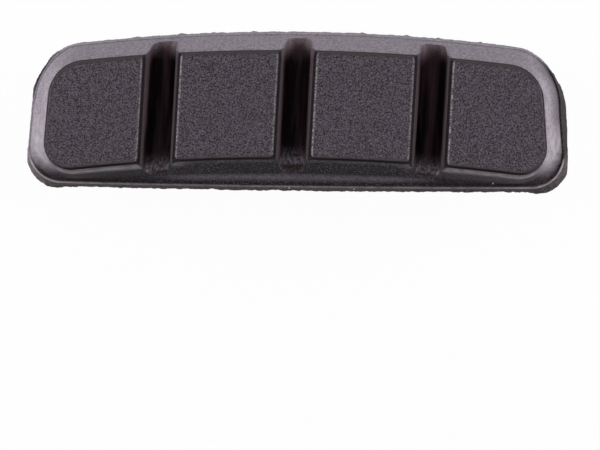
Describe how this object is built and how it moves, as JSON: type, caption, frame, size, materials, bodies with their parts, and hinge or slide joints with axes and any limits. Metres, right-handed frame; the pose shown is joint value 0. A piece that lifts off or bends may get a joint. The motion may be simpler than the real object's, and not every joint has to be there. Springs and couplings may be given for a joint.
{
  "type": "bicycle rim brake pad",
  "caption": "Arched moulded rubber rim brake pad insert: raised grained lands parted by slanted water grooves, drafted flanks on a lipped head, and a dovetail tongue for a holder.",
  "frame": {"origin": "on the plane of the tongue's back, under the middle of the head's length and width", "axes": "+X along the pad's length, +Y towards the outer, bowed edge, +Z out of the braking face"},
  "size_m": [0.06, 0.0178, 0.0093],
  "materials": {
    "pad_rubber": "moulded black-grey rubber, satin on the flanks, fine grain on the lands"
  },
  "bodies": {
    "root": {"brake_pad": "pad_rubber"}
  },
  "joints": []
}
